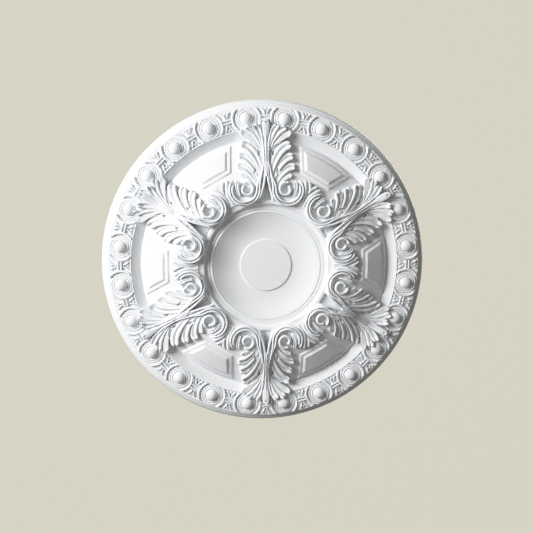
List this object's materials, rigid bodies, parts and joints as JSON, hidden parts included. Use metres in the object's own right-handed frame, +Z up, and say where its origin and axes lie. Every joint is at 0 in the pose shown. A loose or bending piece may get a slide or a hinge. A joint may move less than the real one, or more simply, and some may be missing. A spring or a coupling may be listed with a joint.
{
  "type": "ceiling rose",
  "caption": "Round moulded ceiling rose with acanthus and scroll motifs, raised panels, a bead band and a plain centre dish.",
  "frame": {"origin": "centre of the flat back, on the ceiling plane", "axes": "+Z up into the ceiling along the rose's axis, -Y along one acanthus motif, +X to its side; the carved face looks down along -Z"},
  "size_m": [0.6, 0.6, 0.0547],
  "materials": {
    "primed_foam": "matt white primer on moulded foam"
  },
  "bodies": {
    "root": {"ceiling_rose": "primed_foam"}
  },
  "joints": []
}
